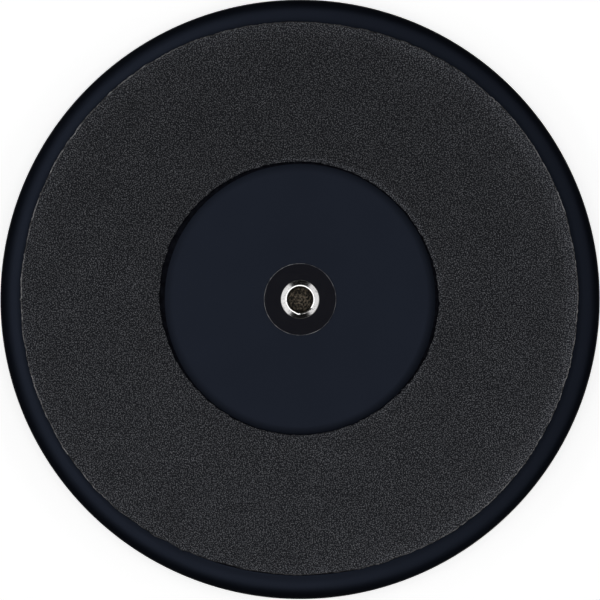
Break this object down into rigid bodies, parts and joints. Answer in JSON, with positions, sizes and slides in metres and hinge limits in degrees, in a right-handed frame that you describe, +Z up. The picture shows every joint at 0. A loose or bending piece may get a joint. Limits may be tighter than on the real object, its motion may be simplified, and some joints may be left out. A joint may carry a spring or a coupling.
{
  "type": "banding wheel",
  "caption": "Low round banding wheel: a wide head with a foam non-slip ring spins on a caged ball race over a round base, held by a central hollow rivet.",
  "frame": {"origin": "on the spin axis, at the surface that the wheel stands on", "axes": "+Z up along the spin axis, from the base to the head's working face. X and Y are equivalent, because the wheel is round."},
  "size_m": [0.3, 0.3, 0.0261],
  "materials": {
    "moulded_plastic": "satin blue-black, finely textured",
    "pad_foam": "dark grey closed-cell foam with an open grain",
    "black_steel": "black, with a bright worn edge",
    "plated_steel": "bright nickel plate",
    "race_steel": "pressed, lightly oiled",
    "ball_steel": "polished",
    "natural_acetal": "natural",
    "cage_nylon": "natural"
  },
  "bodies": {
    "base": {"base": "moulded_plastic", "base_pad": "pad_foam", "lower_race": "race_steel", "base_washer": "black_steel", "pivot_rivet": "plated_steel", "top_washer": "black_steel"},
    "head": {"head": "moulded_plastic", "head_pad": "pad_foam", "upper_race": "race_steel", "hub_bush": "natural_acetal"},
    "cage": {"ball_cage": "cage_nylon"},
    "ball_01": {"ball_01": "ball_steel"},
    "ball_02": {"ball_02": "ball_steel"},
    "ball_03": {"ball_03": "ball_steel"},
    "ball_04": {"ball_04": "ball_steel"},
    "ball_05": {"ball_05": "ball_steel"},
    "ball_06": {"ball_06": "ball_steel"},
    "ball_07": {"ball_07": "ball_steel"},
    "ball_08": {"ball_08": "ball_steel"},
    "ball_09": {"ball_09": "ball_steel"},
    "ball_10": {"ball_10": "ball_steel"},
    "ball_11": {"ball_11": "ball_steel"},
    "ball_12": {"ball_12": "ball_steel"},
    "ball_13": {"ball_13": "ball_steel"},
    "ball_14": {"ball_14": "ball_steel"},
    "ball_15": {"ball_15": "ball_steel"},
    "ball_16": {"ball_16": "ball_steel"},
    "ball_17": {"ball_17": "ball_steel"},
    "ball_18": {"ball_18": "ball_steel"},
    "ball_19": {"ball_19": "ball_steel"},
    "ball_20": {"ball_20": "ball_steel"},
    "ball_21": {"ball_21": "ball_steel"},
    "ball_22": {"ball_22": "ball_steel"},
    "ball_23": {"ball_23": "ball_steel"},
    "ball_24": {"ball_24": "ball_steel"}
  },
  "joints": [
    {"name": "head_spin", "type": "hinge", "parent": "base", "child": "head", "pos_m": [0, 0, 0.01305], "axis": [0, 0, 1], "continuous": true},
    {"name": "cage_orbit", "type": "hinge", "parent": "base", "child": "cage", "pos_m": [0, 0, 0.01305], "axis": [0, 0, 1], "continuous": true},
    {"name": "ball_01_roll", "type": "hinge", "parent": "cage", "child": "ball_01", "pos_m": [0.095, 0, 0.01305], "axis": [1, 0, 0], "continuous": true},
    {"name": "ball_02_roll", "type": "hinge", "parent": "cage", "child": "ball_02", "pos_m": [0.09176, 0.02459, 0.01305], "axis": [0.9659, 0.2588, 0], "continuous": true},
    {"name": "ball_03_roll", "type": "hinge", "parent": "cage", "child": "ball_03", "pos_m": [0.08227, 0.0475, 0.01305], "axis": [0.866, 0.5, 0], "continuous": true},
    {"name": "ball_04_roll", "type": "hinge", "parent": "cage", "child": "ball_04", "pos_m": [0.06717, 0.06717, 0.01305], "axis": [0.7071, 0.7071, 0], "continuous": true},
    {"name": "ball_05_roll", "type": "hinge", "parent": "cage", "child": "ball_05", "pos_m": [0.0475, 0.08227, 0.01305], "axis": [0.5, 0.866, 0], "continuous": true},
    {"name": "ball_06_roll", "type": "hinge", "parent": "cage", "child": "ball_06", "pos_m": [0.02459, 0.09176, 0.01305], "axis": [0.2588, 0.9659, 0], "continuous": true},
    {"name": "ball_07_roll", "type": "hinge", "parent": "cage", "child": "ball_07", "pos_m": [0, 0.095, 0.01305], "axis": [0, 1, 0], "continuous": true},
    {"name": "ball_08_roll", "type": "hinge", "parent": "cage", "child": "ball_08", "pos_m": [-0.02459, 0.09176, 0.01305], "axis": [-0.2588, 0.9659, 0], "continuous": true},
    {"name": "ball_09_roll", "type": "hinge", "parent": "cage", "child": "ball_09", "pos_m": [-0.0475, 0.08227, 0.01305], "axis": [-0.5, 0.866, 0], "continuous": true},
    {"name": "ball_10_roll", "type": "hinge", "parent": "cage", "child": "ball_10", "pos_m": [-0.06717, 0.06717, 0.01305], "axis": [-0.7071, 0.7071, 0], "continuous": true},
    {"name": "ball_11_roll", "type": "hinge", "parent": "cage", "child": "ball_11", "pos_m": [-0.08227, 0.0475, 0.01305], "axis": [-0.866, 0.5, 0], "continuous": true},
    {"name": "ball_12_roll", "type": "hinge", "parent": "cage", "child": "ball_12", "pos_m": [-0.09176, 0.02459, 0.01305], "axis": [-0.9659, 0.2588, 0], "continuous": true},
    {"name": "ball_13_roll", "type": "hinge", "parent": "cage", "child": "ball_13", "pos_m": [-0.095, 0, 0.01305], "axis": [-1, 0, 0], "continuous": true},
    {"name": "ball_14_roll", "type": "hinge", "parent": "cage", "child": "ball_14", "pos_m": [-0.09176, -0.02459, 0.01305], "axis": [-0.9659, -0.2588, 0], "continuous": true},
    {"name": "ball_15_roll", "type": "hinge", "parent": "cage", "child": "ball_15", "pos_m": [-0.08227, -0.0475, 0.01305], "axis": [-0.866, -0.5, 0], "continuous": true},
    {"name": "ball_16_roll", "type": "hinge", "parent": "cage", "child": "ball_16", "pos_m": [-0.06717, -0.06717, 0.01305], "axis": [-0.7071, -0.7071, 0], "continuous": true},
    {"name": "ball_17_roll", "type": "hinge", "parent": "cage", "child": "ball_17", "pos_m": [-0.0475, -0.08227, 0.01305], "axis": [-0.5, -0.866, 0], "continuous": true},
    {"name": "ball_18_roll", "type": "hinge", "parent": "cage", "child": "ball_18", "pos_m": [-0.02459, -0.09176, 0.01305], "axis": [-0.2588, -0.9659, 0], "continuous": true},
    {"name": "ball_19_roll", "type": "hinge", "parent": "cage", "child": "ball_19", "pos_m": [0, -0.095, 0.01305], "axis": [0, -1, 0], "continuous": true},
    {"name": "ball_20_roll", "type": "hinge", "parent": "cage", "child": "ball_20", "pos_m": [0.02459, -0.09176, 0.01305], "axis": [0.2588, -0.9659, 0], "continuous": true},
    {"name": "ball_21_roll", "type": "hinge", "parent": "cage", "child": "ball_21", "pos_m": [0.0475, -0.08227, 0.01305], "axis": [0.5, -0.866, 0], "continuous": true},
    {"name": "ball_22_roll", "type": "hinge", "parent": "cage", "child": "ball_22", "pos_m": [0.06717, -0.06717, 0.01305], "axis": [0.7071, -0.7071, 0], "continuous": true},
    {"name": "ball_23_roll", "type": "hinge", "parent": "cage", "child": "ball_23", "pos_m": [0.08227, -0.0475, 0.01305], "axis": [0.866, -0.5, 0], "continuous": true},
    {"name": "ball_24_roll", "type": "hinge", "parent": "cage", "child": "ball_24", "pos_m": [0.09176, -0.02459, 0.01305], "axis": [0.9659, -0.2588, 0], "continuous": true}
  ],
  "couplings": [
    {"joint": "cage_orbit", "follows": "head_spin", "ratio": 0.5},
    {"joint": "ball_01_roll", "follows": "head_spin", "ratio": -14.961},
    {"joint": "ball_02_roll", "follows": "head_spin", "ratio": -14.961},
    {"joint": "ball_03_roll", "follows": "head_spin", "ratio": -14.961},
    {"joint": "ball_04_roll", "follows": "head_spin", "ratio": -14.961},
    {"joint": "ball_05_roll", "follows": "head_spin", "ratio": -14.961},
    {"joint": "ball_06_roll", "follows": "head_spin", "ratio": -14.961},
    {"joint": "ball_07_roll", "follows": "head_spin", "ratio": -14.961},
    {"joint": "ball_08_roll", "follows": "head_spin", "ratio": -14.961},
    {"joint": "ball_09_roll", "follows": "head_spin", "ratio": -14.961},
    {"joint": "ball_10_roll", "follows": "head_spin", "ratio": -14.961},
    {"joint": "ball_11_roll", "follows": "head_spin", "ratio": -14.961},
    {"joint": "ball_12_roll", "follows": "head_spin", "ratio": -14.961},
    {"joint": "ball_13_roll", "follows": "head_spin", "ratio": -14.961},
    {"joint": "ball_14_roll", "follows": "head_spin", "ratio": -14.961},
    {"joint": "ball_15_roll", "follows": "head_spin", "ratio": -14.961},
    {"joint": "ball_16_roll", "follows": "head_spin", "ratio": -14.961},
    {"joint": "ball_17_roll", "follows": "head_spin", "ratio": -14.961},
    {"joint": "ball_18_roll", "follows": "head_spin", "ratio": -14.961},
    {"joint": "ball_19_roll", "follows": "head_spin", "ratio": -14.961},
    {"joint": "ball_20_roll", "follows": "head_spin", "ratio": -14.961},
    {"joint": "ball_21_roll", "follows": "head_spin", "ratio": -14.961},
    {"joint": "ball_22_roll", "follows": "head_spin", "ratio": -14.961},
    {"joint": "ball_23_roll", "follows": "head_spin", "ratio": -14.961},
    {"joint": "ball_24_roll", "follows": "head_spin", "ratio": -14.961}
  ]
}
